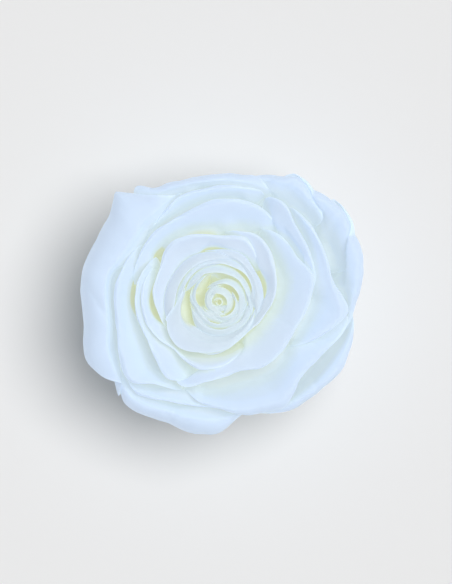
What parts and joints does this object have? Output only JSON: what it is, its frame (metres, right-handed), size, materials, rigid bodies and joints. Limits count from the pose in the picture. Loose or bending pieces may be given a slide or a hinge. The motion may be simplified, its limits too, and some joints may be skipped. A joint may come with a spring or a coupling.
{
  "type": "preserved rose head",
  "caption": "Bluish-white preserved rose head standing face up, with a spiralled heart, rolled outer petals, sepals and a short cut stem.",
  "frame": {"origin": "middle of the outline, on the surface that the rose stands on; the cut stem stands about 1 mm to its left", "axes": "+Z up out of the face of the bloom, +X along the widest outline, towards the right as seen from above with +Y up"},
  "size_m": [0.0612, 0.0552, 0.0432],
  "materials": {
    "heart_petals": "matte petal, white with a yellow-green tint in the depth",
    "outer_petals": "matte petal, bluish white",
    "stem_and_hip": "matte green, paler at the cut",
    "sepals": "matte green"
  },
  "bodies": {
    "root": {"petal_coil_bottom": "heart_petals", "petal_coil_left": "heart_petals", "petal_coil_lower": "heart_petals", "petal_coil_top": "heart_petals", "petal_cup_lower_left": "heart_petals", "petal_cup_right": "heart_petals", "petal_cup_top": "heart_petals", "petal_cup_upper_left": "heart_petals", "petal_eye_left": "heart_petals", "petal_eye_lower_right": "heart_petals", "petal_eye_upper_right": "heart_petals", "petal_heart_curl": "heart_petals", "petal_heart_left": "heart_petals", "petal_heart_right": "heart_petals", "petal_lower_left_leaf": "outer_petals", "petal_middle_left": "outer_petals", "petal_middle_lower_right": "outer_petals", "petal_middle_top_left": "outer_petals", "petal_middle_upper_right": "outer_petals", "petal_outer_left": "outer_petals", "petal_outer_lower_right": "outer_petals", "petal_outer_right": "outer_petals", "petal_outer_top": "outer_petals", "petal_rim_left": "outer_petals", "petal_rim_lower_left": "outer_petals", "petal_rim_lower_right": "outer_petals", "petal_rim_right": "outer_petals", "petal_rim_top": "outer_petals", "petal_rim_top_right": "outer_petals", "petal_rim_upper_right": "outer_petals", "petal_whorl_left_strip": "outer_petals", "petal_whorl_right": "outer_petals", "petal_whorl_upper_left": "outer_petals", "receptacle": "stem_and_hip", "sepal_1": "sepals", "sepal_2": "sepals", "sepal_3": "sepals", "sepal_4": "sepals", "sepal_5": "sepals"}
  },
  "joints": []
}
